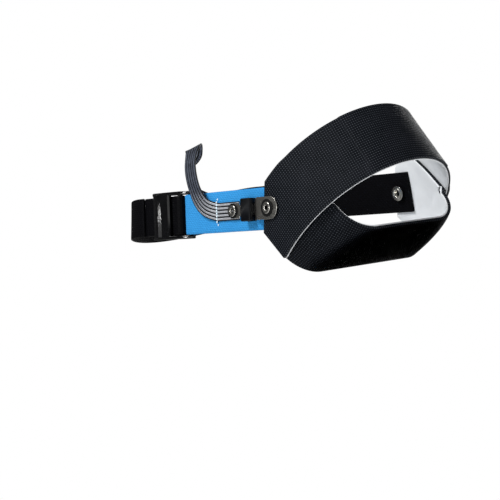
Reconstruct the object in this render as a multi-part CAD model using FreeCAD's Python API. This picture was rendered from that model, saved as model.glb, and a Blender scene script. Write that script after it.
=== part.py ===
import FreeCAD, Part
import math
import os

# ESD heel grounder in its worn shape: a cup of two rubber strips, a webbing loop over the instep
# with a ladder-lock buckle, a moulded resistor between two eyelets, and a conductive ribbon.
# Millimetres. Origin: centre of the sole band's underside. +Z up, +X towards the back of the heel,
# -Y the side that carries the resistor.
V = FreeCAD.Vector

# ---- driving dimensions -------------------------------------------------------------------------
RUBBER = 1.3                # black ply of a rubber strip
LINING = 0.7                # white ply inside it
STRIP = RUBBER + LINING
PLY_GAP = 0.3               # heel strip over sole strip

SHOE_HALF_WIDTH = 42.2      # plan of the cup, at floor level
SHOE_BACK_DEPTH = 55.0      # ellipse from the widest point to the back
SHOE_CENTRE_X = -13.7       # where that ellipse is centred
BACK_LEAN = 9.8             # degrees the cup leans in at the back
SIDE_LEAN = 3.4             # and at the sides
SOLE_EDGE_RADIUS = 15.0     # outer radius where the sole strip turns up

SOLE_BAND_WIDTH = 35.4
SOLE_FLAT = 18.0            # half length of its flat part, side to side
SOLE_BAND_SWEEP = 0.0053    # how fast the sole strip leans forward up the side, per mm
HEEL_BAND_WIDTH = 31.8
HEEL_BAND_HEIGHT = 35.9     # its centre line at the back of the heel
HEEL_BAND_DROP = 0.0017     # how fast that line falls towards the front, per mm

TAB_TOP = (-9.7, 43.4)      # x, z corners of the trimmed tab on each side
TAB_FRONT = (-22.9, 25.0)
TAB_FOOT = (-16.2, 7.2)

WEBBING = 1.2               # thickness of the straps
WEBBING_WIDTH = 19.0
STRAP_RISE = 28.7           # degrees the strap loop climbs forward
STRAP_LEAN = 5.0            # degrees the straps lean inward
STRAP_OUT = 38.3            # half distance between the straps' outer faces
EYELET_X = -13.7            # tab eyelet, where the strap coordinates start
EYELET_Z = 31.9
STRAP_TAIL = 7.0            # strap end hidden behind the tab
TAIL_SINK = 0.6             # how far that end is pressed in by the tab

BAR_U = 67.8                # buckle's rear bar, along the strap from the tab eyelet
BAR_RADIUS = 1.1
BAR_RUN = 0.15              # clearance of the webbing round a bar
BAR_Z = -WEBBING - BAR_RADIUS - BAR_RUN
MIDDLE_BAR = (72.6, -0.05)  # along the strap, out of its face
MIDDLE_BAR_RADIUS = 1.25
BUCKLE_START, BUCKLE_END = 66.2, 94.0
BUCKLE_GAP = 19.6           # between the rails
RAIL = 1.6
LOOP_DROP = WEBBING + 0.25  # how far the instep loop lies under the buckle's webbing
LOOP_U = 105.0              # where the instep loop starts to turn
LOOP_SAG = 5.4              # how far its front hangs below its two ends
LOOP_FRONT_LEAN = 12.0      # degrees its front leans with the instep
LOOP_ENDS = 0.08            # sine of the turn at each end that is left level
TAIL_END_U = 101.4          # end of the strap's tail
HEM_END_U = 36.0            # folded end of the side strap

RESISTOR_START, RESISTOR_END = 14.0, 21.0
RESISTOR_WIDTH = 10.4
RESISTOR_HEIGHT = 4.0
RIBBON_EYELET_U = 29.9
RIVET_HOLE = 2.3            # radius of every hole an eyelet goes through
LUG = 0.4                   # sheet of the nickel lugs
FIBRE = 0.35                # washer thickness
TAB_WASHER_RADIUS = 3.9

RIBBON_WIDTH = 8.5
RIBBON_THICKNESS = 0.6
RIBBON_START_U = 26.0       # its end under the rear lug
STITCH_U = 42.6             # where it is sewn to the side strap
STITCH_PITCH = 1.3
STITCHES = 10
STITCH_HALF = 0.38 * STITCH_PITCH
ON_STRAP = 0.1              # gap under what lies on the strap
ROLL_RADIUS = 12.0
ROLL_BORE = 2.2
ROLL_CENTRE = (-13.5, -23.5, STRIP + 0.05 + ROLL_RADIUS)

# Ribbon route from the stitching to the roll, each point with the direction of the ribbon's width.
RIBBON_ROUTE = [
    ((-57.0, -39.3, 58.0), (0.62, 0.06, 0.78)),
    ((-58.0, -40.2, 63.1), (0.86, 0.02, 0.5)),
    ((-57.2, -40.8, 68.7), (0.97, 0.02, 0.2)),
    ((-56.2, -40.4, 75.0), (1, 0.08, 0)),
    ((-55.8, -38.4, 81.6), (1, 0.15, 0)),
    ((-55.8, -35.2, 86.7), (0.96, 0.3, 0)),
    ((-57.1, -31.6, 90.7), (0.85, 0.52, 0)),
    ((-60.2, -27.6, 93.7), (0.74, 0.67, 0)),
    ((-64.8, -25.0, 94.0), (0.7, 0.68, -0.2)),
    ((-69.0, -24.6, 91.8), (0.7, 0.1, -0.7)),
    ((-71.9, -25.4, 87.9), (0.6, -0.6, -0.5)),
    ((-71.8, -27.8, 81.8), (0.65, -0.66, -0.2)),
    ((-69.4, -30.4, 74.8), (0.7, -0.4, 0.4)),
    ((-65.8, -32.0, 67.6), (0.55, -0.1, 0.8)),
    ((-51.2, -32.6, 55.0), (0.45, -0.1, 0.88)),
    ((-42.0, -31.8, 49.6), (0.42, -0.15, 0.88)),
    ((-32.2, -30.2, 44.6), (0.3, -0.6, 0.72)),
    ((-22.4, -27.0, 39.8), (0.05, -1, 0.2)),
    ((-13.4, -24.0, 34.2), (0, -1, 0)),
]
ROLL_LANDING = 37.0         # degrees above level of where the ribbon lands on the roll
ROLL_APPROACH = 7.0         # straight run before it


# ---- geometry helpers ---------------------------------------------------------------------------
def unit(vector):
    result = V(vector)
    result.normalize()
    return result


def solid_between(outer, inner):
    """Closed solid between two grids of points that have the same rows and columns."""
    faces = []
    edges = []
    for grid in (outer, inner):
        surface = Part.BSplineSurface()
        surface.interpolate(grid)
        faces.append(surface.toShape())
        first_u, last_u, first_v, last_v = surface.bounds()
        edges.append([surface.uIso(first_u).toShape(), surface.uIso(last_u).toShape(),
                      surface.vIso(first_v).toShape(), surface.vIso(last_v).toShape()])
    for outer_edge, inner_edge in zip(edges[0], edges[1]):
        faces.append(Part.makeRuledSurface(outer_edge, inner_edge, 1))
    shell = Part.makeShell(faces)
    shell.sewShape()
    solid = Part.makeSolid(Part.Shell(shell.Faces))
    if solid.Volume < 0:
        solid.reverse()
    return solid


def strip_between(outer, inner):
    """Closed solid of a flat strip from the two edges of each face, given as [edge, edge] of points."""
    rails = [outer[0], outer[1], inner[1], inner[0]]
    edges = []
    for rail in rails:
        curve = Part.BSplineCurve()
        curve.interpolate(rail)
        edges.append(curve.toShape())
    faces = [Part.makeRuledSurface(edges[index], edges[index - 1], 1) for index in range(4)]
    for end in (0, -1):
        corners = [rail[end] for rail in rails]
        faces.append(Part.Face(Part.makePolygon(corners + [corners[0]])))
    shell = Part.makeShell([face for shape in faces for face in shape.Faces])
    shell.sewShape()
    solid = Part.makeSolid(Part.Shell(shell.Faces))
    if mesh_volume(solid) < 0:
        solid.reverse()
    return solid


def mesh_volume(shape):
    points, facets = shape.tessellate(0.02)
    return sum(points[a].dot(points[b].cross(points[c])) for a, b, c in facets) / 6


def offset_grid(surface_point, rows, columns, distance):
    """Points of surface_point(row, column) moved along its normal; positive is outward."""
    step = 0.5
    side = 0.05
    grid = []
    for row in rows:
        line = []
        for column in columns:
            along = surface_point(row + step, column) - surface_point(row - step, column)
            across = surface_point(row, column + side) - surface_point(row, column - side)
            normal = unit(across.cross(along))
            line.append(surface_point(row, column) + normal * distance)
        grid.append(line)
    return grid


def skin(surface_point, rows, columns, outside, inside):
    return solid_between(offset_grid(surface_point, rows, columns, outside),
                         offset_grid(surface_point, rows, columns, inside))


def spaced(first, last, count):
    return [first + (last - first) * index / (count - 1) for index in range(count)]


def side_prism(corners, far=80.0):
    """Prism along Y over an outline of x, z corners."""
    points = [V(x, -far, z) for x, z in corners]
    wire = Part.makePolygon(points + [points[0]])
    return Part.Face(wire).extrude(V(0, 2 * far, 0))


def mirrored(shape):
    return shape.mirror(V(0, 0, 0), V(0, 1, 0))


# ---- the shoe's heel, which both rubber strips follow ---------------------------------------------
def heel_plan():
    """Half outline at floor level from the back forwards: distance, point and outward normal."""
    samples = []
    distance = 0.0
    last = None
    for index in range(241):
        if index <= 200:
            turn = math.pi / 2 * index / 200
            x = SHOE_CENTRE_X + SHOE_BACK_DEPTH * math.cos(turn)
            y = SHOE_HALF_WIDTH * math.sin(turn)
            normal = unit(V(math.cos(turn) / SHOE_BACK_DEPTH, math.sin(turn) / SHOE_HALF_WIDTH, 0))
        else:
            x = SHOE_CENTRE_X - (index - 200)
            y = SHOE_HALF_WIDTH
            normal = V(0, 1, 0)
        if last:
            distance += math.hypot(x - last[0], y - last[1])
        last = (x, y)
        samples.append((distance, x, y, normal))
    return samples


PLAN = heel_plan()


def plan_at(distance):
    size = abs(distance)
    side = 1.0 if distance < 0 else -1.0
    low, high = 0, len(PLAN) - 1
    while high - low > 1:
        middle = (low + high) // 2
        if PLAN[middle][0] <= size:
            low = middle
        else:
            high = middle
    near, far = PLAN[low], PLAN[high]
    share = (size - near[0]) / (far[0] - near[0])
    x = near[1] + (far[1] - near[1]) * share
    y = near[2] + (far[2] - near[2]) * share
    normal = near[3] + (far[3] - near[3]) * share
    return x, side * y, V(normal.x, side * normal.y, 0)


def wall_point(distance, rise):
    """Cup wall: distance round the plan from the back (+ on the -Y side), rise along the wall."""
    x, y, normal = plan_at(distance)
    behind = max(0.0, (x - SHOE_CENTRE_X) / SHOE_BACK_DEPTH)
    lean = math.radians(SIDE_LEAN + (BACK_LEAN - SIDE_LEAN) * behind ** 2)
    return V(x, y, 0) - normal * (rise * math.sin(lean)) + V(0, 0, rise * math.cos(lean))


def wall_half_width(x, z):
    """Half width of the cup wall at x and z."""
    best = None
    for distance, plan_x, _, _ in PLAN:
        point = wall_point(-distance, z)
        if point.x <= x:
            if best is None:
                return point.y
            share = (best.x - x) / max(best.x - point.x, 1e-9)
            return best.y + (point.y - best.y) * share
        best = point
    return best.y


# ---- rubber strips --------------------------------------------------------------------------------
def heel_band_point(distance, across):
    """Outer strip round the back; across runs from -1 at the lower edge to 1 at the top."""
    rise = HEEL_BAND_HEIGHT - HEEL_BAND_DROP * distance ** 2
    slope = -2 * HEEL_BAND_DROP * distance
    share = 1 / math.hypot(1, slope)
    half = HEEL_BAND_WIDTH / 2 * across
    return wall_point(distance - half * slope * share, rise + half * share)


def sole_band_point(travel, across):
    """Strip under the heel; travel is measured from its middle, + on the -Y side."""
    x_middle = SOLE_BAND_WIDTH / 2 * across
    radius = SOLE_EDGE_RADIUS
    at_floor = wall_half_width(x_middle, 0)
    lean = math.atan((at_floor - wall_half_width(x_middle, 30)) / 30)
    turn = math.pi / 2 + lean
    flat = at_floor - radius * math.tan(turn / 2)
    arc = radius * turn
    size = abs(travel)
    side = -1.0 if travel > 0 else 1.0
    up = max(0.0, size - flat)
    x = x_middle - SOLE_BAND_SWEEP * up ** 2
    if size <= flat:
        return V(x, side * size, 0)
    if up <= arc:
        y = flat + radius * math.sin(up / radius)
        z = radius * (1 - math.cos(up / radius))
        return V(x, side * y, z)
    z = radius * (1 - math.cos(turn)) + (up - arc) * math.cos(lean)
    return V(x, side * wall_half_width(x, z), z)


def tab_trim():
    """Everything in front of the trimmed tab."""
    return side_prism([(TAB_TOP[0] - 0.3 * 30, TAB_TOP[1] + 30), TAB_TOP, TAB_FRONT, TAB_FOOT,
                       (TAB_FOOT[0] - 12, -20), (-120, -20), (-120, TAB_TOP[1] + 30)])


def eyelet_holes():
    """Drill for the rivets of both tabs."""
    drill = in_strap(Part.makeCylinder(RIVET_HOLE, 24, V(0, 0, -12), V(0, 0, 1)))
    return drill.fuse(mirrored(drill))


def heel_band_ply(outside, inside):
    band = skin(heel_band_point, spaced(-100, 100, 41), spaced(-1, 1, 5), outside, inside)
    return band.cut(tab_trim()).cut(eyelet_holes())


def sole_band_ply(outside, inside):
    """One ply of the strip under the heel, with a true flat where it is stood on."""
    band = skin(sole_band_point, spaced(-88, 88, 59), spaced(-1, 1, 7), outside, inside)
    band = band.cut(Part.makeBox(120, 120, 5, V(-60, -60, -5 - outside)))
    band = band.cut(Part.makeBox(60, 2 * SOLE_FLAT, 10, V(-30, -SOLE_FLAT, -5)))
    band = band.fuse(Part.makeBox(SOLE_BAND_WIDTH, 2 * SOLE_FLAT, outside - inside,
                                  V(-SOLE_BAND_WIDTH / 2, -SOLE_FLAT, -outside)))
    top = side_prism([(TAB_TOP[0] - 40, TAB_TOP[1] - 10), (TAB_TOP[0] + 60, TAB_TOP[1] + 10),
                      (TAB_TOP[0] + 60, 120), (TAB_TOP[0] - 40, 120)])
    front = side_prism([(TAB_TOP[0] - 9, TAB_TOP[1] + 30), TAB_TOP, TAB_FRONT,
                        (-120, TAB_FRONT[1]), (-120, TAB_TOP[1] + 30)])
    return band.cut(top.fuse(front)).cut(eyelet_holes())


# ---- strap coordinates ----------------------------------------------------------------------------
RISE = math.radians(STRAP_RISE)
LEAN = math.radians(STRAP_LEAN)
FORWARD = V(-math.cos(RISE), 0, math.sin(RISE))
LOOP_UP = V(math.sin(RISE), 0, math.cos(RISE))
OUTWARD = V(0, -math.cos(LEAN), 0) + LOOP_UP * math.sin(LEAN)
ACROSS = OUTWARD.cross(FORWARD)
EYELET = V(EYELET_X, -STRAP_OUT, EYELET_Z)


def in_strap(shape):
    """Place a shape drawn with X along the side strap, Y across it and Z out of its outer face."""
    matrix = FreeCAD.Matrix(FORWARD.x, ACROSS.x, OUTWARD.x, EYELET.x,
                            FORWARD.y, ACROSS.y, OUTWARD.y, EYELET.y,
                            FORWARD.z, ACROSS.z, OUTWARD.z, EYELET.z,
                            0, 0, 0, 1)
    placed = shape.copy()
    placed.transformShape(matrix)
    return placed


def in_strap_point(u, out):
    """Point u along the side strap's middle and out from its outer face."""
    return EYELET + FORWARD * u + OUTWARD * out


def thick_line(points, thickness, width):
    """Webbing drawn edge-on through x, z points, each bend rounded by the curve, then widened."""
    half = thickness / 2
    sides = ([], [])
    for index, (x, z) in enumerate(points):
        before = points[max(index - 1, 0)]
        after = points[min(index + 1, len(points) - 1)]
        length = math.hypot(after[0] - before[0], after[1] - before[1])
        nx, nz = -(after[1] - before[1]) / length, (after[0] - before[0]) / length
        sides[0].append(V(x + nx * half, -width / 2, z + nz * half))
        sides[1].append(V(x - nx * half, -width / 2, z - nz * half))
    curves = []
    for side in sides:
        curve = Part.BSplineCurve()
        curve.interpolate(side)
        curves.append(curve.toShape())
    ends = [Part.makeLine(sides[0][0], sides[1][0]), Part.makeLine(sides[0][-1], sides[1][-1])]
    wire = Part.Wire(Part.__sortEdges__(curves + ends))
    return Part.Face(wire).extrude(V(0, width, 0))


def arc_points(centre_x, centre_z, radius, start, end, count):
    """Points on an arc between two angles in degrees."""
    return [(centre_x + radius * math.cos(math.radians(angle)),
             centre_z + radius * math.sin(math.radians(angle)))
            for angle in spaced(start, end, count)]


# ---- straps -----------------------------------------------------------------------------------------
def side_strap():
    """Blue webbing from behind the tab, round the buckle's rear bar and back under itself."""
    wrap = BAR_RADIUS + BAR_RUN + WEBBING / 2
    line = []
    for u in spaced(-STRAP_TAIL, BAR_U - 2.0, 24):
        sunk = min(1.0, max(0.0, (13.0 - u) / 9.0))
        line.append((u, -WEBBING / 2 - TAIL_SINK * sunk * sunk * (3 - 2 * sunk)))
    line += arc_points(BAR_U, BAR_Z, wrap, 90, -90, 9)
    line += [(BAR_U - 2.2, BAR_Z - wrap + 0.1), (BAR_U - 4.6, -3.2), (BAR_U - 7.0, -2.2)]
    line += [(u, -1.55 * WEBBING) for u in spaced(BAR_U - 9.4, HEM_END_U, 8)]
    strap = in_strap(thick_line(line, WEBBING, WEBBING_WIDTH))
    return strap.cut(eyelet_holes()).cut(ribbon_eyelet_hole())


def ribbon_eyelet_hole():
    return in_strap(Part.makeCylinder(RIVET_HOLE, 24, V(RIBBON_EYELET_U, 0, -12), V(0, 0, 1)))


def loop_line(travel):
    """Middle of the instep loop's outer face, and how far round its front the place is, 0 to 1."""
    radius = STRAP_OUT - LOOP_DROP
    angle = min(travel / radius, math.pi)
    past = max(0.0, travel - math.pi * radius)
    front = (max(0.0, math.sin(angle) - LOOP_ENDS) / (1 - LOOP_ENDS)) ** 2
    place = V(EYELET_X, -radius * math.cos(angle), EYELET_Z)
    place += FORWARD * (LOOP_U + radius * math.sin(angle) - past)
    return place - LOOP_UP * (LOOP_SAG * front), front


def loop_point(travel, across):
    """Outer face of the instep loop: travel from the -Y side's LOOP_U round to the +Y tab."""
    place, front = loop_line(travel)
    along = unit(loop_line(travel + 0.2)[0] - loop_line(travel - 0.2)[0])
    lean = LEAN + (math.radians(LOOP_FRONT_LEAN) - LEAN) * front
    out = unit(LOOP_UP.cross(along))
    width = LOOP_UP * math.cos(lean) - out * math.sin(lean)
    width = unit(width - along * width.dot(along))
    return place + width * (WEBBING_WIDTH / 2 * across)


def instep_strap():
    """Black webbing round the instep, from just in front of the buckle to behind the far tab."""
    end = math.pi * (STRAP_OUT - LOOP_DROP) + LOOP_U + STRAP_TAIL
    places = spaced(0.3, end, 61)
    faces = []
    for depth in (0, -WEBBING):
        grid = offset_grid(loop_point, places, (-1, 1), depth)
        faces.append(([line[0] for line in grid], [line[1] for line in grid]))
    return strip_between(faces[0], faces[1]).cut(eyelet_holes())


def threaded_strap():
    """The instep strap's end: in under the buckle, over its middle bar, down and out as the tail."""
    load = -WEBBING / 2 - LOOP_DROP
    tail = -WEBBING / 2 + 0.1
    wrap = MIDDLE_BAR_RADIUS + BAR_RUN + WEBBING / 2
    bar_u, bar_z = MIDDLE_BAR
    line = [(u, load) for u in spaced(LOOP_U, bar_u + 2.4, 10)]
    line += arc_points(bar_u, bar_z, wrap, -90, -270, 9)
    line += [(bar_u + 2.0, bar_z + wrap - 0.35), (bar_u + 4.3, 0.75), (bar_u + 6.3, tail + 0.1)]
    line += [(u, tail) for u in spaced(bar_u + 8.4, TAIL_END_U, 8)]
    return in_strap(thick_line(line, WEBBING, WEBBING_WIDTH - 0.4))


# ---- buckle ------------------------------------------------------------------------------------------
def buckle():
    """Ladder-lock frame: two rails, rear bar, middle bar and the front plate with its thumb lip."""
    outline = [(BUCKLE_START, -3.8), (BUCKLE_START, -1.7), (BUCKLE_START + 1.6, -0.6), (71.4, 1.6),
               (78.6, 2.5), (91.6, 2.5), (BUCKLE_END, 1.4), (BUCKLE_END, 0.2), (85.0, -1.2),
               (76.0, -3.2), (69.4, -3.9)]
    points = [V(x, -BUCKLE_GAP / 2 - RAIL, z) for x, z in outline]
    rail = Part.Face(Part.makePolygon(points + [points[0]])).extrude(V(0, RAIL, 0))
    rail = rail.makeFillet(0.45, [edge for edge in rail.Edges if edge.Length > 1.7])
    other = rail.mirror(V(0, 0, 0), V(0, 1, 0))
    wide = BUCKLE_GAP + 0.6
    rear_bar = Part.makeCylinder(BAR_RADIUS, wide, V(BAR_U, -wide / 2, BAR_Z), V(0, 1, 0))
    middle = Part.makeCylinder(MIDDLE_BAR_RADIUS, wide, V(MIDDLE_BAR[0], -wide / 2, MIDDLE_BAR[1]), V(0, 1, 0))
    plate_outline = [(79.4, 0.45), (79.4, 1.7), (80.2, 2.5), (85.6, 2.5), (87.0, 3.5), (89.2, 3.5),
                     (90.4, 2.5), (92.0, 2.3), (BUCKLE_END, 1.1), (BUCKLE_END, 0.55)]
    points = [V(x, -wide / 2, z) for x, z in plate_outline]
    plate = Part.Face(Part.makePolygon(points + [points[0]])).extrude(V(0, wide, 0))
    frame = rail.fuse([other, rear_bar, middle, plate])
    for index in range(3):
        tooth = Part.makePolygon([V(80.2 + 1.5 * index, -8.5, 0.5), V(80.8 + 1.5 * index, -8.5, 0.22),
                                  V(81.4 + 1.5 * index, -8.5, 0.5), V(80.2 + 1.5 * index, -8.5, 0.5)])
        frame = frame.fuse(Part.Face(tooth).extrude(V(0, 17, 0)))
    return in_strap(frame.removeSplitter())


# ---- resistor, lugs and eyelets ------------------------------------------------------------------------
RUBBER_TOP = 2 * STRIP + PLY_GAP + 0.45     # outer face of the tab above the strap's outer face
LUG_REST = RUBBER_TOP + 0.12                # underside of the front lug
LUG_IN_BLOCK = ON_STRAP + 1.0
RIBBON_TOP = ON_STRAP + RIBBON_THICKNESS
REAR_LUG_REST = RIBBON_TOP + 0.15
TAB_RIVET_TOP = LUG_REST + LUG + FIBRE
RIBBON_RIVET_TOP = REAR_LUG_REST + LUG + FIBRE
FAR_RIVET_TOP = RUBBER_TOP + 0.12 + FIBRE


def resistor_housing():
    """Moulded block with a cavity for the resistor and a slot at each end for its lug."""
    length = RESISTOR_END - RESISTOR_START
    block = Part.makeBox(length, RESISTOR_WIDTH, RESISTOR_HEIGHT,
                         V(RESISTOR_START, -RESISTOR_WIDTH / 2, ON_STRAP))
    block = block.makeFillet(0.7, [e for e in block.Edges if e.BoundBox.ZMax > ON_STRAP + 0.1])
    cavity = Part.makeBox(length - 1.6, 6.0, 2.6, V(RESISTOR_START + 0.8, -3.0, ON_STRAP + 0.6))
    slot = Part.makeBox(length + 2, 5.4, LUG + 0.1,
                        V(RESISTOR_START - 1, -2.7, ON_STRAP + 0.95))
    return in_strap(block.cut(cavity).cut(slot))


def resistor():
    """Carbon-film resistor: body with raised end caps."""
    centre = (RESISTOR_START + RESISTOR_END) / 2
    z = ON_STRAP + 2.3
    body = Part.makeCylinder(0.7, 2.6, V(centre - 1.3, 0, z), V(1, 0, 0))
    for start in (-1.5, 0.7):
        body = body.fuse(Part.makeCylinder(0.82, 0.8, V(centre + start, 0, z), V(1, 0, 0)))
    return in_strap(body)


def resistor_lead(toward):
    """Wire from one end cap down to its lug."""
    centre = (RESISTOR_START + RESISTOR_END) / 2
    z = ON_STRAP + 2.3
    start = centre + toward * 1.5
    wire = Part.makeCylinder(0.2, 0.55, V(start, 0, z), V(toward, 0, 0))
    knee = V(start + toward * 0.55, 0, z)
    down = Part.makeCylinder(0.2, z - LUG_IN_BLOCK - LUG, knee, V(0, 0, -1))
    return in_strap(wire.fuse(down).fuse(Part.makeSphere(0.2, knee)))


def plate_from_side(line, width):
    """Bent sheet-metal strip drawn edge-on through x, z corners."""
    half = LUG / 2
    upper = [V(x, -width / 2, z + half) for x, z in line]
    lower = [V(x, -width / 2, z - half) for x, z in reversed(line)]
    return Part.Face(Part.makePolygon(upper + lower + [upper[0]])).extrude(V(0, width, 0))


def front_lug():
    """Nickel lug that steps up from the block onto the rubber tab, with a round end."""
    rest = LUG_REST + LUG / 2
    inside = LUG_IN_BLOCK + LUG / 2
    neck = plate_from_side([(16.0, inside), (13.2, inside)], 5.0)
    step = plate_from_side([(13.2, inside), (12.2, inside), (7.4, rest), (5.2, rest),
                            (-1.7, rest)], 10.0)
    end = Part.makeCylinder(5.0, LUG, V(-1.7, 0, LUG_REST))
    hole = Part.makeCylinder(RIVET_HOLE, 6, V(0, 0, LUG_REST - 3))
    return in_strap(neck.fuse([step, end]).removeSplitter().cut(hole))


def rear_lug():
    """Nickel lug that drops from the block onto the ribbon's end."""
    rest = REAR_LUG_REST + LUG / 2
    inside = LUG_IN_BLOCK + LUG / 2
    neck = plate_from_side([(19.0, inside), (22.0, inside), (24.2, rest), (29.9, rest)], 5.0)
    pad = Part.makeCylinder(3.5, LUG, V(RIBBON_EYELET_U, 0, rest - LUG / 2))
    wide = plate_from_side([(25.0, rest), (RIBBON_EYELET_U, rest)], 7.0)
    hole = Part.makeCylinder(RIVET_HOLE, 6, V(RIBBON_EYELET_U, 0, -2))
    return in_strap(neck.fuse([pad, wide]).removeSplitter().cut(hole))


def eyelet(u, top, bottom):
    """Hollow rivet: domed flange outside, barrel, and a rolled flange inside."""
    outline = [V(1.0, 0, top + 0.75), V(1.45, 0, top + 1.0), V(1.95, 0, top + 0.85),
               V(2.4, 0, top + 0.35), V(2.4, 0, top), V(1.9, 0, top), V(1.9, 0, bottom),
               V(2.5, 0, bottom), V(2.5, 0, bottom - 0.4), V(1.5, 0, bottom - 0.5),
               V(1.5, 0, top - 0.2), V(1.0, 0, top + 0.1)]
    ring = Part.Face(Part.makePolygon(outline + [outline[0]])).revolve(V(0, 0, 0), V(0, 0, 1), 360)
    ring.translate(V(u, 0, 0))
    return ring


def washer(u, top, thickness, radius=3.45):
    """Flat washer whose upper face is at top."""
    ring = Part.makeCylinder(radius, thickness, V(u, 0, top - thickness))
    return ring.cut(Part.makeCylinder(2.0, thickness + 2, V(u, 0, top - thickness - 1)))


# ---- ribbon ----------------------------------------------------------------------------------------
def ribbon_places():
    """Route of the ribbon's middle from under the lug to the roll, with its width directions."""
    places = [(in_strap_point(u, ON_STRAP + RIBBON_THICKNESS / 2), ACROSS * -1)
              for u in spaced(RIBBON_START_U, STITCH_U, 9)]
    places += [(V(*place), V(*width)) for place, width in RIBBON_ROUTE]
    landing = math.radians(ROLL_LANDING)
    reach = ROLL_RADIUS + RIBBON_THICKNESS / 2 + 0.02
    end = V(*ROLL_CENTRE) + V(math.cos(landing), 0, math.sin(landing)) * reach
    tangent = V(math.sin(landing), 0, -math.cos(landing))
    for back in (ROLL_APPROACH, ROLL_APPROACH / 2, 0):
        places.append((end - tangent * back, V(0, -1, 0)))
    return places


def ribbon_line(count):
    """Evenly spaced points along the route, each with its direction and width direction."""
    anchors = ribbon_places()
    curve = Part.BSplineCurve()
    curve.interpolate([place for place, _ in anchors])
    first = curve.FirstParameter
    marks = [curve.length(first, curve.parameter(place)) if index else 0.0
             for index, (place, _) in enumerate(anchors)]
    line = []
    stage = 0
    for distance in spaced(0, curve.length(), count):
        while stage < len(marks) - 2 and distance > marks[stage + 1]:
            stage += 1
        share = (distance - marks[stage]) / (marks[stage + 1] - marks[stage])
        width = anchors[stage][1] * (1 - share) + anchors[stage + 1][1] * share
        parameter = curve.parameterAtDistance(distance, first)
        line.append((curve.value(parameter), unit(curve.tangent(parameter)[0]), width))
    return curve, line


def ribbon():
    """Flat conductive ribbon along its route, holed for the rear eyelet."""
    faces = {1: ([], []), -1: ([], [])}
    for place, along, width in ribbon_line(90)[1]:
        across = unit(width - along * width.dot(along))
        normal = along.cross(across)
        for side in faces:
            middle = place + normal * (side * RIBBON_THICKNESS / 2)
            faces[side][0].append(middle - across * (RIBBON_WIDTH / 2))
            faces[side][1].append(middle + across * (RIBBON_WIDTH / 2))
    return strip_between(faces[1], faces[-1]).cut(ribbon_eyelet_hole())


def print_route(shape):
    """Bend radii along the ribbon's middle, and its volume against section times length."""
    curve = ribbon_line(2)[0]
    print("ribbon route %.1f mm, volume %.1f, section times length %.1f" % (
        curve.length(), mesh_volume(shape), curve.length() * RIBBON_WIDTH * RIBBON_THICKNESS))
    radii = []
    for distance in spaced(1.0, curve.length() - 1.0, 33):
        bend = curve.curvature(curve.parameterAtDistance(distance, curve.FirstParameter))
        radii.append("%.0f" % min(1 / max(bend, 1e-6), 999))
    print("bend radii along it, mm: " + " ".join(radii))


def ribbon_roll():
    """Outer shape of the rolled-up rest of the ribbon, standing on the sole band's lining."""
    x, y, z = ROLL_CENTRE
    start = V(x, y - RIBBON_WIDTH / 2, z)
    roll = Part.makeCylinder(ROLL_RADIUS, RIBBON_WIDTH, start, V(0, 1, 0))
    return roll.cut(Part.makeCylinder(ROLL_BORE, RIBBON_WIDTH, start, V(0, 1, 0)))


def roll_tie():
    """Flat band tied through the roll's bore and over its rim, on the side away from the ribbon."""
    x, y, z = ROLL_CENTRE
    half = RIBBON_WIDTH / 2
    outer = Part.makeBox(ROLL_RADIUS - 0.8, 2 * half + 1.0, 2.2, V(1.4, -half - 0.5, -1.1))
    inner = Part.makeBox(ROLL_RADIUS - 1.4, 2 * half + 0.1, 3.0, V(1.7, -half - 0.05, -1.5))
    band = outer.cut(inner)
    band.translate(V(x, y, z))
    return band


def ribbon_stitching():
    """Row of thread across the ribbon and onto the strap at both sides, each stitch a flat bar."""
    bars = []
    for index in range(STITCHES):
        middle = STITCH_PITCH * (index - (STITCHES - 1) / 2)
        height = RIBBON_TOP if abs(middle) < RIBBON_WIDTH / 2 + STITCH_HALF else 0.0
        bars.append(in_strap(Part.makeBox(0.8, 2 * STITCH_HALF, 0.25,
                                          V(STITCH_U - 0.4, middle - STITCH_HALF, height + 0.08))))
    return Part.makeCompound(bars)


# ---- write one STEP per sub-part -----------------------------------------------------------------------
def save(name, shape):
    shape.exportStep("parts/%s.step" % name)
    box = shape.BoundBox
    print("%-24s solids %d  volume %8.1f  x %.1f..%.1f y %.1f..%.1f z %.1f..%.1f  valid %s" % (
        name, len(shape.Solids), shape.Volume, box.XMin, box.XMax, box.YMin, box.YMax,
        box.ZMin, box.ZMax, shape.isValid()))


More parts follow.
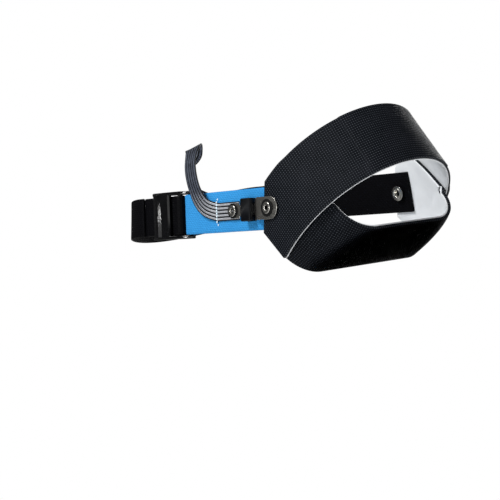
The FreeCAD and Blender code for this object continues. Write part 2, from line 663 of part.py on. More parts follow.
def main():
    os.makedirs("parts", exist_ok=True)
    heel_top = STRIP + PLY_GAP
    save("sole_band_rubber", sole_band_ply(0, -RUBBER))
    save("sole_band_lining", sole_band_ply(-RUBBER, -STRIP))
    save("heel_band_rubber", heel_band_ply(heel_top, heel_top - RUBBER))
    save("heel_band_lining", heel_band_ply(heel_top - RUBBER, PLY_GAP))
    save("side_strap", side_strap())
    save("instep_strap", instep_strap())
    save("threaded_strap_end", threaded_strap())
    save("buckle_frame", buckle())
    save("resistor_housing", resistor_housing())
    save("resistor", resistor())
    save("resistor_lead_front", resistor_lead(-1))
    save("resistor_lead_rear", resistor_lead(1))
    save("front_lug", front_lug())
    save("rear_lug", rear_lug())
    tab_back = -WEBBING - TAIL_SINK - 0.03
    save("tab_eyelet", in_strap(eyelet(0, TAB_RIVET_TOP, tab_back - FIBRE)))
    save("tab_eyelet_washer", in_strap(washer(0, TAB_RIVET_TOP, FIBRE, TAB_WASHER_RADIUS)))
    save("tab_eyelet_back_washer", in_strap(washer(0, tab_back, FIBRE)))
    save("ribbon_eyelet", in_strap(eyelet(RIBBON_EYELET_U, RIBBON_RIVET_TOP, -WEBBING - FIBRE)))
    save("ribbon_eyelet_washer", in_strap(washer(RIBBON_EYELET_U, RIBBON_RIVET_TOP, FIBRE)))
    save("ribbon_eyelet_back_washer", in_strap(washer(RIBBON_EYELET_U, -WEBBING, FIBRE)))
    far_back = -LOOP_DROP - WEBBING
    save("far_rivet", mirrored(in_strap(eyelet(0, FAR_RIVET_TOP, far_back - FIBRE))))
    save("far_rivet_washer", mirrored(in_strap(washer(0, FAR_RIVET_TOP, FIBRE))))
    save("far_rivet_back_washer", mirrored(in_strap(washer(0, far_back, FIBRE))))
    strip = ribbon()
    save("ribbon", strip)
    print_route(strip)
    save("ribbon_roll", ribbon_roll())
    save("roll_tie", roll_tie())
    save("ribbon_stitching", ribbon_stitching())


main()
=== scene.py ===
import math
import random

import bmesh
import bpy
from mathutils import Matrix, Vector


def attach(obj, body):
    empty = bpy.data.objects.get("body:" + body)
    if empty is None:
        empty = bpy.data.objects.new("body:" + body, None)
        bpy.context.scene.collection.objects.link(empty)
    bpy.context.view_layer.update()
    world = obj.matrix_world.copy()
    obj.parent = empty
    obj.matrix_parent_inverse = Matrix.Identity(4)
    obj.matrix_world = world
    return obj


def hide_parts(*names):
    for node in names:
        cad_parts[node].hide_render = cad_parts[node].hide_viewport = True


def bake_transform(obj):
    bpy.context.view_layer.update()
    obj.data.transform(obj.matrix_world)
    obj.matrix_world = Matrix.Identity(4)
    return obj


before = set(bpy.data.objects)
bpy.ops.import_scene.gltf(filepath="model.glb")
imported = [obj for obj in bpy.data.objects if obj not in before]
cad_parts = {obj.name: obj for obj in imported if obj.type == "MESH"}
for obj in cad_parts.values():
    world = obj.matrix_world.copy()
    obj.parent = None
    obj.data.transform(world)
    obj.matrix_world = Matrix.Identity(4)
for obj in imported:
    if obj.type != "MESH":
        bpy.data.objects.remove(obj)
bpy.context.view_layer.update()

# Lengths are in millimetres until a mesh is made, and repeat the CAD's driving dimensions.
# +Z up, +X towards the back of the heel, -Y the side that carries the resistor.
MM = 0.001
RUBBER, LINING = 1.3, 0.7
STRIP = RUBBER + LINING
PLY_GAP = 0.3
SHOE_HALF_WIDTH, SHOE_BACK_DEPTH, SHOE_CENTRE_X = 42.2, 55.0, -13.7
BACK_LEAN, SIDE_LEAN = 9.8, 3.4
SOLE_EDGE_RADIUS = 15.0
SOLE_BAND_WIDTH, SOLE_BAND_SWEEP = 35.4, 0.0053
HEEL_BAND_WIDTH, HEEL_BAND_HEIGHT, HEEL_BAND_DROP = 31.8, 35.9, 0.0017
TAB_TOP, TAB_FRONT, TAB_FOOT = (-9.7, 43.4), (-22.9, 25.0), (-16.2, 7.2)      # x, z corners
TAB_TOP_SLOPE = 0.2              # rise of the sole strip's end towards the back
WEBBING, WEBBING_WIDTH = 1.2, 19.0
STRAP_OUT, EYELET_X, EYELET_Z = 38.3, -13.7, 31.9
STRAP_TAIL, TAIL_SINK, LOOP_DROP = 7.0, 0.6, WEBBING + 0.25
BAR_U, BAR_RADIUS, BAR_RUN = 67.8, 1.1, 0.15
BAR_Z = -WEBBING - BAR_RADIUS - BAR_RUN
MIDDLE_BAR, MIDDLE_BAR_RADIUS = (72.6, -0.05), 1.25
LOOP_U, TAIL_END_U, HEM_END_U = 105.0, 101.4, 36.0
LOOP_SAG, LOOP_FRONT_LEAN, LOOP_ENDS = 5.4, 12.0, 0.08
RUBBER_TOP = 2 * STRIP + PLY_GAP + 0.45      # outer face of the tab above the strap's outer face
OVER_RUBBER, OVER_RIBBON, UNDER_TAIL = 0.12, 0.15, 0.03      # gaps to the sheet on them
LUG, FIBRE = 0.4, 0.35           # sheet of the lugs and thickness of the washers
RIBBON_WIDTH, RIBBON_THICKNESS, RIBBON_START_U, ON_STRAP = 8.5, 0.6, 26.0, 0.1
RIBBON_EYELET_U = 29.9
STITCH_U, STITCH_PITCH, STITCHES = 42.6, 1.3, 10
STITCH_HALF = 0.38 * STITCH_PITCH      # half its length, across the ribbon
EDGE_ROUND = 0.18                # of the rubber strips
ROLL_CENTRE, ROLL_RADIUS, ROLL_LANDING = Vector((-13.5, -23.5, 14.05)), 12.0, 37.0

RISE, LEAN = math.radians(28.7), math.radians(5.0)
FORWARD = Vector((-math.cos(RISE), 0, math.sin(RISE)))
LOOP_UP = Vector((math.sin(RISE), 0, math.cos(RISE)))
OUTWARD = Vector((0, -math.cos(LEAN), 0)) + LOOP_UP * math.sin(LEAN)
ACROSS = OUTWARD.cross(FORWARD)
EYELET = Vector((EYELET_X, -STRAP_OUT, EYELET_Z))


def on_strap(u, v, out):
    """Point in strap coordinates: along the side strap, across it and out of its outer face."""
    return EYELET + FORWARD * u + ACROSS * v + OUTWARD * out


def spaced(first, last, count):
    """Evenly spaced numbers, both ends included."""
    return [first + (last - first) * index / (count - 1) for index in range(count)]


# ---- camera --------------------------------------------------------------------------------------
CAMERA_AT = Vector((0.41794, -0.43320, -0.19028))
CAMERA_AIM = Vector((-0.0462, -0.0343, 0.0287))
CAMERA_UP = Vector((0.5005, 0.1110, 0.8586))      # tilted, as the photograph is
LENS, SENSOR = 102.7, 36.0


def facing(place, aim, upright):
    """Transform of a camera or light at place that looks at aim."""
    back = (place - aim).normalized()
    right = upright.cross(back).normalized()
    turn = Matrix((right, back.cross(right), back)).transposed()
    return Matrix.Translation(place) @ turn.to_4x4()


def make_camera():
    """The photograph's viewing angle."""
    data = bpy.data.cameras.new("camera")
    data.lens = LENS
    data.sensor_width = SENSOR
    data.clip_start = 0.01
    camera = bpy.data.objects.new("camera", data)
    bpy.context.scene.collection.objects.link(camera)
    camera.matrix_world = facing(CAMERA_AT, CAMERA_AIM, CAMERA_UP)
    bpy.context.scene.camera = camera


make_camera()


# ---- materials -----------------------------------------------------------------------------------
UV_SCALE = 100.0                 # millimetres of strip in one unit of its UV map


class Paint:
    """A Principled material and short calls for the nodes that feed it."""

    def __init__(self, name, color, roughness, metallic=0.0, specular=0.5):
        self.material = bpy.data.materials.new(name)
        self.material.use_nodes = True
        self.nodes = self.material.node_tree.nodes
        self.links = self.material.node_tree.links
        self.shader = self.nodes["Principled BSDF"]
        self.shader.inputs["Base Color"].default_value = (*color, 1.0)
        self.shader.inputs["Roughness"].default_value = roughness
        self.shader.inputs["Metallic"].default_value = metallic
        self.shader.inputs["Specular IOR Level"].default_value = specular

    def put(self, socket, value):
        """Give a socket a number, a colour or another node's output."""
        if isinstance(value, (int, float)):
            socket.default_value = value
        elif isinstance(value, tuple):
            socket.default_value = (*value, 1.0) if len(socket.default_value) == 4 else value
        else:
            self.links.new(value, socket)

    def math(self, operation, first, second=0.0, third=0.0):
        """Output of a Math node."""
        node = self.nodes.new("ShaderNodeMath")
        node.operation = operation
        for socket, value in zip(node.inputs, (first, second, third)):
            self.put(socket, value)
        return node.outputs[0]

    def strip_uv(self):
        """Distance along and across a strip, in millimetres."""
        uv = self.nodes.new("ShaderNodeUVMap")
        uv.uv_map = "strip"
        split = self.nodes.new("ShaderNodeSeparateXYZ")
        self.links.new(uv.outputs[0], split.inputs[0])
        return (self.math("MULTIPLY", split.outputs[0], UV_SCALE),
                self.math("MULTIPLY", split.outputs[1], UV_SCALE))

    def noise(self, scale, detail=3.0, stretch=(1.0, 1.0, 1.0)):
        """Noise in the object's own coordinates."""
        place = self.nodes.new("ShaderNodeTexCoord")
        mapping = self.nodes.new("ShaderNodeMapping")
        mapping.inputs["Scale"].default_value = stretch
        noise = self.nodes.new("ShaderNodeTexNoise")
        noise.inputs["Scale"].default_value = scale
        noise.inputs["Detail"].default_value = detail
        self.links.new(place.outputs["Object"], mapping.inputs["Vector"])
        self.links.new(mapping.outputs[0], noise.inputs["Vector"])
        return noise.outputs["Fac"]

    def ramp(self, value, *stops):
        """Map a value to the colours or greys given as (position, colour)."""
        node = self.nodes.new("ShaderNodeValToRGB")
        while len(node.color_ramp.elements) < len(stops):
            node.color_ramp.elements.new(0.5)
        for element, (position, color) in zip(node.color_ramp.elements, stops):
            element.position = position
            element.color = (*color, 1.0) if isinstance(color, tuple) else (color, color, color, 1.0)
        self.put(node.inputs[0], value)
        return node.outputs[0]

    def mix(self, factor, first, second):
        """Blend two colours: sockets 6 and 7 in, socket 2 out, are the node's colour ones."""
        node = self.nodes.new("ShaderNodeMix")
        node.data_type = "RGBA"
        self.put(node.inputs["Factor"], factor)
        self.put(node.inputs[6], first)
        self.put(node.inputs[7], second)
        return node.outputs[2]

    def color(self, value):
        self.put(self.shader.inputs["Base Color"], value)

    def roughness(self, value):
        self.put(self.shader.inputs["Roughness"], value)

    def bump(self, height, depth_mm):
        """Raise the surface where height is 1, by so many millimetres."""
        node = self.nodes.new("ShaderNodeBump")
        node.inputs["Strength"].default_value = 1.0
        node.inputs["Distance"].default_value = depth_mm * MM
        self.put(node.inputs["Height"], height)
        self.links.new(node.outputs[0], self.shader.inputs["Normal"])

    def bars(self, distance, pitch, shift=0.0):
        """Smooth rise and fall from 0 to 1 once every pitch."""
        phase = self.math("MULTIPLY_ADD", distance, 2 * math.pi / pitch, shift)
        return self.math("MULTIPLY_ADD", self.math("SINE", phase), 0.5, 0.5)


def rubber_material():
    """Black rubber with a cloth-embossed face: a square grid of small raised dots, their tops coloured
    lighter as a painted highlight.
    """
    paint = Paint("rubber", (0.006, 0.008, 0.011), 0.6, specular=0.06)
    along, across = paint.strip_uv()
    pitch = 1.15
    dots = paint.math("MULTIPLY", paint.bars(along, pitch), paint.bars(across, pitch))
    uneven = paint.noise(900.0)
    blotch = paint.noise(120.0)
    height = paint.math("MULTIPLY_ADD", uneven, 0.25, dots)
    paint.bump(height, 0.16)
    dark = paint.ramp(blotch, (0.3, (0.002, 0.003, 0.005)), (0.7, (0.005, 0.006, 0.009)))
    # painted highlight: the dots' tops are coloured lighter grey than the rubber round them
    painted_dot_highlight = paint.ramp(dots, (0.50, 0.0), (0.95, 1.0))
    paint.color(paint.mix(painted_dot_highlight, dark, (0.060, 0.067, 0.078)))
    paint.roughness(paint.ramp(dots, (0.2, 0.62), (0.9, 0.36)))
    return paint.material


def lining_material():
    """White cloth-backed ply, slightly uneven."""
    paint = Paint("lining", (0.82, 0.84, 0.86), 0.55)
    paint.color(paint.ramp(paint.noise(60.0), (0.3, (0.74, 0.76, 0.78)), (0.75, (0.86, 0.88, 0.90))))
    paint.bump(paint.noise(1500.0, 2.0), 0.05)
    return paint.material


def webbing_material(name, thread, shade, weave, sheen):
    """Nylon webbing, its ribs weave millimetres apart and crossed by the warp's diagonal; the weave's low
    places take the darker shade colour, as painted shade.
    """
    paint = Paint(name, thread, 0.6, specular=0.05)
    along, across = paint.strip_uv()
    rib = paint.bars(along, weave)
    warp = paint.bars(across, weave * 1.2)
    twill = paint.bars(paint.math("ADD", along, across), weave * 2.4)
    yarns = paint.math("MULTIPLY", paint.math("ADD", rib, warp), 0.5)
    height = paint.math("MULTIPLY_ADD", twill, 0.45, yarns)
    paint.bump(paint.math("MULTIPLY_ADD", paint.noise(1800.0), 0.3, height), 0.10)
    # painted shade: the low places of the weave are coloured darker, the high yarns take the thread colour
    cloth = paint.ramp(height, (0.15, shade), (0.95, thread))
    wear = paint.ramp(paint.noise(90.0), (0.35, 0.0), (0.8, 1.0))
    paint.color(paint.mix(paint.math("MULTIPLY", wear, 0.25), cloth, shade))
    paint.roughness(paint.ramp(height, (0.2, 0.7), (0.9, 0.45)))
    paint.shader.inputs["Sheen Weight"].default_value = sheen
    return paint.material


def ribbon_material():
    """Conductive ribbon with black yarns along it: silver by the eyelet; past the stitching, painted shade
    turns it dark blue-grey.
    """
    paint = Paint("ribbon", (0.5, 0.5, 0.56), 0.45, metallic=0.45, specular=0.5)
    along, across = paint.strip_uv()
    lines = paint.bars(across, 1.62, math.pi / 2)
    silver = paint.ramp(paint.bars(along, 0.7), (0.1, (0.32, 0.34, 0.38)), (0.9, (0.70, 0.71, 0.75)))
    uneven = paint.math("MULTIPLY", paint.noise(260.0), 1.7)
    streak = paint.math("MULTIPLY", paint.bars(across, 0.54), uneven)
    # painted shade: past the stitching the ribbon is coloured dark blue-grey, with lighter streaks along its
    # yarns
    shaded_far_colour = paint.ramp(streak, (0.30, (0.008, 0.011, 0.022)), (0.80, (0.22, 0.25, 0.33)))
    # where that painted shade takes over, about 20 to 34 mm along the strip
    far_shade_mask = paint.ramp(paint.math("MULTIPLY", along, 0.01), (0.20, 0.0), (0.34, 1.0))
    between = paint.ramp(lines, (0.34, 0.0), (0.58, 1.0))
    paint.color(paint.mix(between, (0.004, 0.005, 0.008), paint.mix(far_shade_mask, silver, shaded_far_colour)))
    yarn = paint.math("MULTIPLY", paint.bars(across, 0.81), paint.bars(along, 0.9))
    paint.bump(paint.math("MULTIPLY_ADD", paint.noise(1600.0), 0.35, yarn), 0.12)
    paint.roughness(paint.ramp(lines, (0.3, 0.6), (0.6, 0.34)))
    return paint.material


def plastic_material(name, color, roughness, specular=0.5, metallic=0.0):
    """Moulded plastic: faint flow marks, fine spark texture and slightly worn edges."""
    paint = Paint(name, color, roughness, metallic, specular)
    marks = paint.noise(70.0, 4.0, (1.0, 1.0, 3.0))
    lighter = tuple(channel * 1.9 + 0.001 for channel in color)
    paint.color(paint.ramp(marks, (0.35, color), (0.8, lighter)))
    paint.roughness(paint.ramp(marks, (0.3, roughness * 0.85), (0.75, roughness * 1.25)))
    paint.bump(paint.noise(2600.0, 2.0), 0.03)
    return paint.material


def nickel_material():
    """Dull nickel plate with stains and fine scratches."""
    paint = Paint("nickel", (0.74, 0.72, 0.67), 0.25, metallic=1.0)
    stain = paint.noise(220.0, 5.0)
    paint.color(paint.ramp(stain, (0.3, (0.34, 0.33, 0.30)), (0.7, (0.62, 0.61, 0.57))))
    paint.roughness(paint.ramp(stain, (0.3, 0.34), (0.75, 0.20)))
    paint.bump(paint.noise(900.0, 3.0, (1.0, 6.0, 1.0)), 0.02)
    return paint.material


def thread_material():
    """Pale blue sewing thread."""
    paint = Paint("thread", (0.75, 0.90, 1.0), 0.6)
    paint.color(paint.ramp(paint.noise(1500.0), (0.35, (0.62, 0.82, 0.95)), (0.7, (0.88, 0.96, 1.0))))
    paint.bump(paint.noise(3000.0, 2.0), 0.05)
    paint.shader.inputs["Sheen Weight"].default_value = 0.3
    return paint.material


def resistor_material():
    """Tan lacquer with four colour bands."""
    tan = (0.62, 0.46, 0.26)
    paint = Paint("resistor", tan, 0.35)
    place = paint.nodes.new("ShaderNodeTexCoord")
    split = paint.nodes.new("ShaderNodeSeparateXYZ")
    paint.links.new(place.outputs["Generated"], split.inputs[0])
    bands = paint.ramp(split.outputs[0], (0.0, tan), (0.22, (0.25, 0.10, 0.03)), (0.30, tan),
                       (0.42, (0.02, 0.02, 0.02)), (0.50, tan), (0.60, (0.05, 0.25, 0.06)),
                       (0.68, tan), (0.80, (0.60, 0.42, 0.10)), (0.88, tan))
    paint.color(paint.mix(paint.math("MULTIPLY", paint.noise(400.0), 0.2), bands, (0.4, 0.3, 0.2)))
    return paint.material


MATERIALS = {
    "rubber": rubber_material(),
    "lining": lining_material(),
    "webbing_blue": webbing_material("webbing_blue", (0.042, 0.30, 0.66), (0.018, 0.19, 0.50), 0.75, 0.02),
    "webbing_black": webbing_material("webbing_black", (0.0025, 0.0025, 0.0035), (0.0006, 0.0006, 0.001),
                                      0.9, 0.0),
    "buckle": plastic_material("buckle", (0.001, 0.001, 0.0015), 0.11, 0.45),
    "moulding": plastic_material("moulding", (0.001, 0.0015, 0.0025), 0.40, 0.15),
    "nickel": nickel_material(),
    "fibre": plastic_material("fibre", (0.002, 0.002, 0.002), 0.6, 0.15),
    "resistor": resistor_material(),
    "lead": plastic_material("lead", (0.55, 0.55, 0.53), 0.3, metallic=1.0),
    "ribbon": ribbon_material(),
    "tie": plastic_material("tie", (0.80, 0.80, 0.78), 0.5),
    "thread": thread_material(),
}


# ---- mesh helpers --------------------------------------------------------------------------------
def new_piece(name, points, faces, slot, body, uvs=None):
    """Object from points in millimetres; uvs holds one (along, across) for each point, also in mm.
"""
    mesh = bpy.data.meshes.new(name)
    mesh.from_pydata([Vector(point) * MM for point in points], [], faces)
    if uvs:
        layer = mesh.uv_layers.new(name="strip")
        for loop in mesh.loops:
            along, across = uvs[loop.vertex_index]
            layer.data[loop.index].uv = (along / UV_SCALE, across / UV_SCALE)
    mesh.shade_smooth()
    mesh.materials.append(MATERIALS[slot])
    piece = bpy.data.objects.new(name, mesh)
    bpy.context.scene.collection.objects.link(piece)
    if body:
        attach(piece, body)
    return piece


def round_edges(piece, width):
    """Bevel the edges that turn by more than 35 degrees, and apply it."""
    bevel = piece.modifiers.new("bevel", "BEVEL")
    bevel.width = width * MM
    bevel.segments = 2
    bevel.limit_method = "ANGLE"
    bevel.angle_limit = math.radians(35.0)
    graph = bpy.context.evaluated_depsgraph_get()
    mesh = bpy.data.meshes.new_from_object(piece.evaluated_get(graph))
    piece.modifiers.clear()
    piece.data = mesh
    mesh.shade_smooth()


def sweep(name, places, section, slot, body, closed=False):
    """Carry a closed section of (across, out) points along places of (centre, across, out)."""
    points, uvs, faces = [], [], []
    count = len(section)
    travelled = 0.0
    for index, (centre, across, out) in enumerate(places):
        if index:
            travelled += (centre - places[index - 1][0]).length
        for side, rise in section:
            points.append(centre + across * side + out * rise)
            uvs.append((travelled, side))
    rings = len(places)
    for ring in range(rings if closed else rings - 1):
        after = (ring + 1) % rings
        for index in range(count):
            following = (index + 1) % count
            faces.append((ring * count + index, ring * count + following,
                          after * count + following, after * count + index))
    if not closed:
        faces.append(tuple(reversed(range(count))))
        faces.append(tuple(range((rings - 1) * count, rings * count)))
    piece = new_piece(name, points, faces, slot, body, uvs)
    make_outward(piece)
    return piece


def make_outward(piece):
    """Turn every face's normal outward."""
    work = bmesh.new()
    work.from_mesh(piece.data)
    bmesh.ops.recalc_face_normals(work, faces=work.faces)
    work.to_mesh(piece.data)
    work.free()


def flat_section(width, thickness, columns=8):
    """Section of flat webbing: level faces, and selvedges rounded to half its thickness."""
    deep = thickness / 2
    level = width / 2 - deep
    turns = (math.pi / 4, math.pi / 2, 3 * math.pi / 4)
    section = [(side, deep) for side in spaced(-level, level, columns)]
    section += [(level + deep * math.sin(turn), deep * math.cos(turn)) for turn in turns]
    section += [(side, -deep) for side in spaced(level, -level, columns)]
    section += [(-level - deep * math.sin(turn), -deep * math.cos(turn)) for turn in turns]
    return section


def smooth_line(points, parts):
    """Catmull-Rom points through the given ones."""
    result = []
    for index in range(len(points) - 1):
        before = points[max(index - 1, 0)]
        start, end = points[index], points[index + 1]
        after = points[min(index + 2, len(points) - 1)]
        for part in range(parts):
            t = part / parts
            square = before * 2 - start * 5 + end * 4 - after
            cube = start * 3 - before - end * 3 + after
            result.append((start * 2 + (end - before) * t + square * t * t + cube * t * t * t) * 0.5)
    result.append(points[-1])
    return result


def strap_places(line, parts=3):
    """Sweep places for webbing drawn edge-on through (u, out) points of the side strap."""
    points = smooth_line([Vector((u, out, 0)) for u, out in line], parts)
    places = []
    for index, point in enumerate(points):
        before, after = points[max(index - 1, 0)], points[min(index + 1, len(points) - 1)]
        step = (after - before).normalized()
        out = OUTWARD * step.x - FORWARD * step.y
        places.append((on_strap(point.x, 0, point.y), ACROSS, out))
    return places


def arc_points(centre_x, centre_z, radius, start, end, count):
    """Points on an arc between two angles in degrees."""
    return [(centre_x + radius * math.cos(math.radians(angle)),
             centre_z + radius * math.sin(math.radians(angle)))
            for angle in spaced(start, end, count)]


# ---- the shoe's heel, which the rubber strips follow ---------------------------------------------
def heel_plan():
    """Places (distance from the back, x, y, normal) round one side: a quarter ellipse, then straight."""
    quarter, straight = 200, 40
    samples = []
    distance = 0.0
    last = None
    for index in range(quarter + straight + 1):
        if index <= quarter:
            turn = math.pi / 2 * index / quarter
            x = SHOE_CENTRE_X + SHOE_BACK_DEPTH * math.cos(turn)
            y = SHOE_HALF_WIDTH * math.sin(turn)
            normal = Vector((math.cos(turn) / SHOE_BACK_DEPTH, math.sin(turn) / SHOE_HALF_WIDTH, 0))
            normal.normalize()
        else:
            x = SHOE_CENTRE_X - (index - quarter)
            y = SHOE_HALF_WIDTH
            normal = Vector((0, 1, 0))
        if last:
            distance += math.hypot(x - last[0], y - last[1])
        last = (x, y)
        samples.append((distance, x, y, normal))
    return samples


PLAN = heel_plan()


def plan_at(distance):
    """x, y and outward normal at a distance from the back, positive on the -Y side."""
    size = abs(distance)
    side = 1.0 if distance < 0 else -1.0
    low, high = 0, len(PLAN) - 1
    while high - low > 1:
        middle = (low + high) // 2
        if PLAN[middle][0] <= size:
            low = middle
        else:
            high = middle
    near, far = PLAN[low], PLAN[high]
    share = (size - near[0]) / (far[0] - near[0])
    normal = near[3].lerp(far[3], share)
    return (near[1] + (far[1] - near[1]) * share, side * (near[2] + (far[2] - near[2]) * share),
            Vector((normal.x, side * normal.y, 0)))


def wall_point(distance, rise):
    """Point of the leaning wall at a distance round it and a rise up it."""
    x, y, normal = plan_at(distance)
    behind = max(0.0, (x - SHOE_CENTRE_X) / SHOE_BACK_DEPTH)
    lean = math.radians(SIDE_LEAN + (BACK_LEAN - SIDE_LEAN) * behind ** 2)
    return Vector((x, y, 0)) - normal * (rise * math.sin(lean)) + Vector((0, 0, rise * math.cos(lean)))


def wall_half_width(x, z):
    """Half the wall's width at a place along the foot and a rise up it."""
    best = None
    for distance, _, _, _ in PLAN:
        point = wall_point(-distance, z)
        if point.x <= x:
            if best is None:
                return point.y
            share = (best.x - x) / max(best.x - point.x, 1e-9)
            return best.y + (point.y - best.y) * share
        best = point
    return best.y


def heel_band_point(distance, across):
    """Point of the wall under the heel strip: distance round it from the back, and -1 to 1 across."""
    rise = HEEL_BAND_HEIGHT - HEEL_BAND_DROP * distance ** 2
    slope = -2 * HEEL_BAND_DROP * distance
    share = 1 / math.hypot(1, slope)
    half = HEEL_BAND_WIDTH / 2 * across
    return wall_point(distance - half * slope * share, rise + half * share)


SOLE_ROWS = {}                   # kept, because each takes a search of the plan


def sole_row(across):
    """Line of the wall across the sole strip: x, lean, turn and half width at the floor."""
    if across not in SOLE_ROWS:
        x = SOLE_BAND_WIDTH / 2 * across
        at_floor = wall_half_width(x, 0)
        up_the_wall = 30
        lean = math.atan((at_floor - wall_half_width(x, up_the_wall)) / up_the_wall)
        SOLE_ROWS[across] = (x, lean, math.pi / 2 + lean, at_floor)
    return SOLE_ROWS[across]


def sole_band_point(travel, across):
    """Outer face of the sole strip: travel from its middle towards -Y, and -1 to 1 across."""
    x_middle, lean, turn, at_floor = sole_row(across)
    radius = SOLE_EDGE_RADIUS
    flat = at_floor - radius * math.tan(turn / 2)
    arc = radius * turn
    size = abs(travel)
    side = -1.0 if travel > 0 else 1.0
    up = max(0.0, size - flat)
    x = x_middle - SOLE_BAND_SWEEP * up ** 2
    if size <= flat:
        return Vector((x, side * size, 0))
    if up <= arc:
        return Vector((x, side * (flat + radius * math.sin(up / radius)),
                       radius * (1 - math.cos(up / radius))))
    z = radius * (1 - math.cos(turn)) + (up - arc) * math.cos(lean)
    return Vector((x, side * wall_half_width(x, z), z))


# ---- rubber strips -------------------------------------------------------------------------------
def strip_shell(name, surface, rows, columns, half_width, outside, inside, slot, relief=None):
    """Closed strip between two distances from a surface of (along, across -1 to 1).

    relief gives extra height for the outside at each (along, across)."""
    points, uvs, faces = [], [], []
    layers = []
    for distance in (outside, inside):
        layer = []
        for row in rows:
            for column in columns:
                # the surface's directions, from points a little to each side
                along = surface(row + 0.5, column) - surface(row - 0.5, column)
                across = surface(row, column + 0.05) - surface(row, column - 0.05)
                normal = across.cross(along).normalized()
                extra = relief(row, column) if relief and distance == outside else 0.0
                layer.append(len(points))
                points.append(surface(row, column) + normal * (distance + extra))
                uvs.append((row, column * half_width))
        layers.append(layer)
    wide, long = len(columns), len(rows)
    for outer, layer in enumerate(layers):
        for row in range(long - 1):
            for column in range(wide - 1):
                a = layer[row * wide + column]
                face = (a, a + 1, a + wide + 1, a + wide)
                faces.append(face if outer == 0 else tuple(reversed(face)))
    rim = [(0, column) for column in range(wide)]
    rim += [(row, wide - 1) for row in range(1, long)]
    rim += [(long - 1, column) for column in range(wide - 2, -1, -1)]
    rim += [(row, 0) for row in range(long - 2, 0, -1)]
    for index, (row, column) in enumerate(rim):
        next_row, next_column = rim[(index + 1) % len(rim)]
        here, there = row * wide + column, next_row * wide + next_column
        faces.append((layers[0][there], layers[0][here], layers[1][here], layers[1][there]))
    return new_piece(name, points, faces, slot, "strap", uvs)


def cut_beyond(piece, first, second):
    """Cut off what lies to the left of the line from first to second, two (x, z) corners, and cap it."""
    direction = Vector((second[0] - first[0], 0, second[1] - first[1]))
    away = Vector((-direction.z, 0, direction.x)).normalized()
    work = bmesh.new()
    work.from_mesh(piece.data)
    whole = work.verts[:] + work.edges[:] + work.faces[:]
    corner = Vector((first[0], 0, first[1])) * MM
    cut = bmesh.ops.bisect_plane(work, geom=whole, dist=1e-7, plane_co=corner, plane_no=away,
                                 clear_outer=True)
    edges = [item for item in cut["geom_cut"] if isinstance(item, bmesh.types.BMEdge)]
    bmesh.ops.holes_fill(work, edges=edges, sides=0)
    bmesh.ops.recalc_face_normals(work, faces=work.faces)
    work.to_mesh(piece.data)
    work.free()


def buried_edge(distance, across):
    """Height of the heel strip over the sole strip beneath it, with a soft step at that strip's edge."""
    point = heel_band_point(distance, across)
    if abs(point.y) < 20 or point.x > 30:       # round the back, where no sole strip is beneath
        return 0.0
    up = max(0.0, point.z + 8.0)                # the sole strip's way round its bend is 8 mm more
    beyond = point.x - (SOLE_BAND_WIDTH / 2 - SOLE_BAND_SWEEP * up ** 2)
    step = 0.45 * min(1.0, max(0.0, beyond / 5.0 + 0.5))
    ridge = 0.16 * math.exp(-(beyond + 1.5) ** 2 / 3.0)
    return ridge - step


def make_heel_strip():
    """Both plies run past the tabs before they are trimmed."""
    end = 98
    top = STRIP + PLY_GAP
    outer = strip_shell("heel_strip_rubber", heel_band_point, spaced(-end, end, 164), spaced(-1, 1, 29),
                        HEEL_BAND_WIDTH / 2, top, top - RUBBER, "rubber", buried_edge)
    inner = strip_shell("heel_strip_lining", heel_band_point, spaced(-end, end, 99), spaced(-1, 1, 11),
                        HEEL_BAND_WIDTH / 2, top - RUBBER, PLY_GAP, "lining")
    for piece in (outer, inner):
        cut_beyond(piece, TAB_FRONT, TAB_TOP)
        cut_beyond(piece, TAB_FOOT, TAB_FRONT)
        round_edges(piece, EDGE_ROUND)
    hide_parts("heel_band_rubber")
    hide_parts("heel_band_lining")


def make_sole_strip():
    """Both plies run past the tabs before they are trimmed."""
    end = 88
    outer = strip_shell("sole_strip_rubber", sole_band_point, spaced(-end, end, 150), spaced(-1, 1, 31),
                        SOLE_BAND_WIDTH / 2, 0, -RUBBER, "rubber")
    inner = strip_shell("sole_strip_lining", sole_band_point, spaced(-end, end, 100), spaced(-1, 1, 11),
                        SOLE_BAND_WIDTH / 2, -RUBBER, -STRIP, "lining")
    top = [(TAB_TOP[0] + shift, TAB_TOP[1] + shift * TAB_TOP_SLOPE) for shift in (-40, 60)]
    for piece in (outer, inner):
        cut_beyond(piece, TAB_FRONT, TAB_TOP)
        cut_beyond(piece, top[0], top[1])
        round_edges(piece, EDGE_ROUND)
    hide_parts("sole_band_rubber")
    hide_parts("sole_band_lining")


# ---- webbing -------------------------------------------------------------------------------------
def make_side_strap():
    """From behind the tab, round the buckle's rear bar and back under itself."""
    wrap = BAR_RADIUS + BAR_RUN + WEBBING / 2
    sink_start, sink_run = 13.0, 9.0             # where it dips behind the tab, and over what length
    line = []
    for u in spaced(-STRAP_TAIL, BAR_U - 2.0, 30):
        sunk = min(1.0, max(0.0, (sink_start - u) / sink_run))
        line.append((u, -WEBBING / 2 - TAIL_SINK * sunk * sunk * (3 - 2 * sunk)))
    line += arc_points(BAR_U, BAR_Z, wrap, 90, -90, 9)
    # from under the bar up to the strap, then along its back
    line += [(BAR_U - 2.2, BAR_Z - wrap + 0.1), (BAR_U - 4.6, -3.2), (BAR_U - 7.0, -2.2)]
    line += [(u, -1.55 * WEBBING) for u in spaced(BAR_U - 9.4, HEM_END_U, 8)]
    strap = sweep("side_webbing", strap_places(line), flat_section(WEBBING_WIDTH, WEBBING), "webbing_blue",
                  "strap")
    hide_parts("side_strap")


